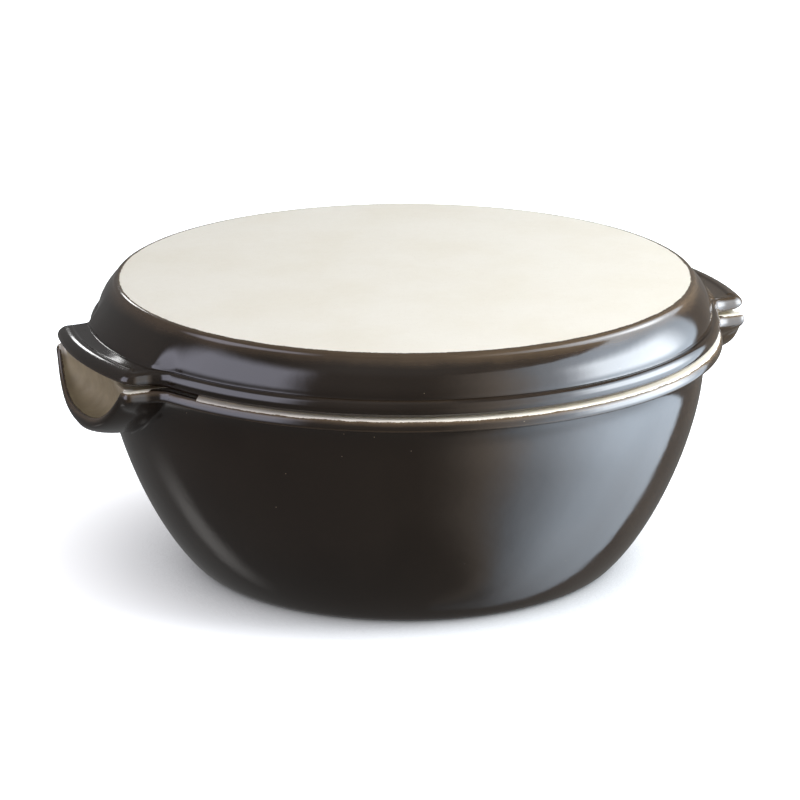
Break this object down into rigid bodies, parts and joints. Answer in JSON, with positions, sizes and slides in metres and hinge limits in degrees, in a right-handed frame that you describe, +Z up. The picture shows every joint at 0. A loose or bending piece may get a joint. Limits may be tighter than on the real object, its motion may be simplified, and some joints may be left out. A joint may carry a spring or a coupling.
{
  "type": "bread cloche",
  "caption": "Round covered baking pot: a deep glazed bowl with scooped ears and a shallow pan turned over on it as a flat-topped lid.",
  "frame": {"origin": "on the floor under the middle of the pot", "axes": "+Z up along the axis the pot is round about, X through the two ears"},
  "size_m": [0.335, 0.3048, 0.1403],
  "materials": {
    "dark_glaze": "dark brown gloss glaze, bare cream clay on the rim and in the ear hollows",
    "bare_clay": "bare cream clay on the flat top and the seat, the same dark glaze on the side and the tabs"
  },
  "bodies": {
    "bowl_body": {"bowl": "dark_glaze"},
    "lid_body": {"lid": "bare_clay"}
  },
  "joints": [
    {"name": "lid_lift", "type": "slide", "parent": "bowl_body", "child": "lid_body", "axis": [0, 0, 1], "range_m": [0, 0.12]}
  ]
}
